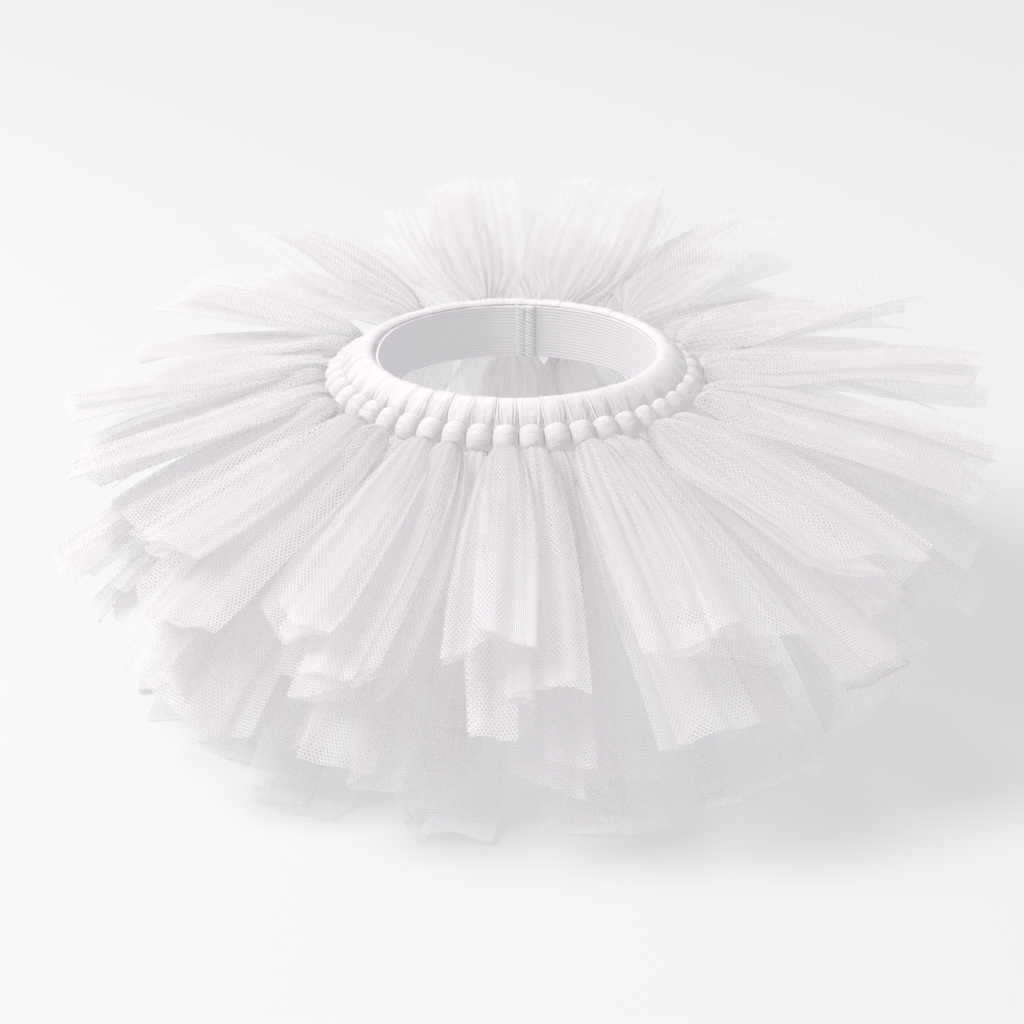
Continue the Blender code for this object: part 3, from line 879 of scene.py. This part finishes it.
def elastic_material():
    """Ribbed knitted elastic: rows of tiny stitches on the ribs."""
    material, tree, cloth, output = blank_material("knitted_elastic")
    parts = node(tree, "ShaderNodeSeparateXYZ", {0: cloth})
    across = math_node(tree, "SINE", math_node(tree, "MULTIPLY", parts.outputs[0], 2 * math.pi / KNIT_ACROSS))
    up = math_node(tree, "SINE", math_node(tree, "MULTIPLY", parts.outputs[1], 2 * math.pi / KNIT_UP))
    knit = math_node(tree, "MULTIPLY", across, up)
    grain = noise(tree, cloth, GRAIN, 2.0)
    relief = math_node(tree, "ADD", math_node(tree, "MULTIPLY", knit, 0.3), grain)
    bump = node(tree, "ShaderNodeBump", {"Height": relief, "Strength": 0.45, "Distance": 0.0002})
    colour = tinted(tree, grain, ELASTIC_COLOUR, darker=0.93)
    rough = math_node(tree, "ADD", math_node(tree, "MULTIPLY", grain, 0.2), 0.6)
    front = node(
        tree,
        "ShaderNodeBsdfPrincipled",
        {"Base Color": colour, "Roughness": rough, "Specular IOR Level": 0.35, "Normal": bump.outputs[0]},
    )
    tree.links.new(front.outputs[0], output.inputs["Surface"])
    return material


def thread_material():
    """Sewing thread, with its twist, and painted shade in the twist's grooves."""
    material, tree, cloth, output = blank_material("sewing_thread")
    parts = node(tree, "ShaderNodeSeparateXYZ", {0: cloth})
    twist = math_node(tree, "ADD", parts.outputs[0], parts.outputs[1])
    plies = math_node(tree, "SINE", math_node(tree, "MULTIPLY", twist, 2 * math.pi / PLY))
    bump = node(tree, "ShaderNodeBump", {"Height": plies, "Strength": 0.4, "Distance": 0.0001})
    # painted shade: darker in the grooves between the plies, where the bump is low
    colour = tinted(tree, plies, THREAD_COLOUR, darker=0.94)
    rough = math_node(tree, "ADD", math_node(tree, "MULTIPLY", plies, 0.05), 0.5)
    inputs = {"Base Color": colour, "Roughness": rough, "Normal": bump.outputs[0]}
    front = node(tree, "ShaderNodeBsdfPrincipled", inputs)
    tree.links.new(front.outputs[0], output.inputs["Surface"])
    return material


# --- Stage -----------------------------------------------------------------------------------------
def camera(target):
    """The camera, so that target shows at AIM_PIXEL."""
    data = bpy.data.cameras.new("camera")
    data.sensor_width = SENSOR
    data.lens = SENSOR * FOCAL_PIXELS / FRAME_PIXELS
    data.clip_end = FARTHEST
    thing = bpy.data.objects.new("camera", data)
    bpy.context.scene.collection.objects.link(thing)
    elevation = math.radians(CAMERA_ELEVATION)
    yaw = math.atan((AIM_PIXEL[0] - FRAME_PIXELS / 2) / FOCAL_PIXELS)
    pitch = elevation + math.atan((FRAME_PIXELS / 2 - AIM_PIXEL[1]) / FOCAL_PIXELS)
    place = target + CAMERA_DISTANCE * Vector((0, -math.cos(elevation), math.sin(elevation)))
    turn = Matrix.Rotation(yaw, 4, "Z") @ Matrix.Rotation(math.pi / 2 - pitch, 4, "X")
    thing.matrix_world = Matrix.Translation(place) @ turn
    bpy.context.scene.camera = thing


def area_light(name, place, target, size, power, colour):
    """A square area light that faces target."""
    data = bpy.data.lights.new(name, "AREA")
    data.size = size
    data.energy = power
    data.color = colour
    thing = bpy.data.objects.new(name, data)
    bpy.context.scene.collection.objects.link(thing)
    thing.location = place
    thing.rotation_mode = "QUATERNION"
    thing.rotation_quaternion = (Vector(target) - Vector(place)).to_track_quat("-Z", "Y")


def floor():
    """A pale plain floor."""
    reach = FLOOR_REACH
    corners = [(-reach, -reach, 0), (reach, -reach, 0), (reach, reach, 0), (-reach, reach, 0)]
    mesh = bpy.data.meshes.new("floor")
    mesh.from_pydata(corners, [], [(0, 1, 2, 3)])
    thing = bpy.data.objects.new("floor", mesh)
    bpy.context.scene.collection.objects.link(thing)
    material = bpy.data.materials.new("floor")
    material.use_nodes = True
    shader = material.node_tree.nodes["Principled BSDF"]
    shader.inputs["Base Color"].default_value = FLOOR_COLOUR
    shader.inputs["Roughness"].default_value = 1.0
    shader.inputs["Specular IOR Level"].default_value = 0.0
    mesh.materials.append(material)


def sky():
    """A plain studio sky, brighter overhead than at the sides."""
    world = bpy.data.worlds.new("studio")
    world.use_nodes = True
    tree = world.node_tree
    way = node(tree, "ShaderNodeTexCoord").outputs["Generated"]
    up = node(tree, "ShaderNodeSeparateXYZ", {0: way}).outputs["Z"]
    squared = math_node(tree, "MULTIPLY", up, up)
    strength = math_node(tree, "MULTIPLY_ADD", squared, SKY_OVERHEAD - SKY_LOW, SKY_LOW)
    tree.nodes["Background"].inputs["Color"].default_value = SKY_COLOUR
    tree.links.new(strength, tree.nodes["Background"].inputs["Strength"])
    world.light_settings.distance = AMBIENT_REACH
    world.cycles.sampling_method = "NONE"
    bpy.context.scene.world = world


def light_paths():
    """Plain colours, and few bounces, so that the many layers of net render in time."""
    view = bpy.context.scene.view_settings
    view.view_transform = "Standard"
    view.look = "None"
    cycles = bpy.context.scene.cycles
    cycles.max_bounces = 4
    cycles.diffuse_bounces = 2
    cycles.glossy_bounces = 1
    cycles.transmission_bounces = 2
    cycles.transparent_max_bounces = 16
    cycles.use_fast_gi = True
    cycles.fast_gi_method = "REPLACE"
    cycles.ao_bounces_render = 1


def stage():
    """The floor, the sky and one large soft light from the upper left."""
    floor()
    sky()
    area_light("key", KEY_PLACE, KEY_TARGET, KEY_SIZE, KEY_POWER, KEY_COLOUR)
    light_paths()


# --- Everything ------------------------------------------------------------------------------------
def main():
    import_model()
    low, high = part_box("elastic_band")
    middle = (low + high) / 2
    axis = (middle.x, middle.y)
    camera(Vector((axis[0], axis[1], RIM_HEIGHT)))
    stage()

    net, gathered = net_material(), gathered_material()
    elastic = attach(elastic_piece(axis, elastic_material()), "root")
    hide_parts("elastic_band")
    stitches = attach(stitch_piece(axis, thread_material()), "root")

    chance = random.Random(FOLD_SEED)
    for strip in strip_plans():
        build = Build()
        length = LOOP_LENGTH
        for tail, upward in ((strip.upper, 1), (strip.lower, -1)):
            length += tail_cloth(build, tail, upward, axis, chance)
        loop_cloth(build, strip, axis, chance)
        knot_cloth(build, strip, axis, chance)
        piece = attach(build.piece(f"{strip.name}_cloth", [net, gathered]), "root")
        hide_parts(strip.name)


main()
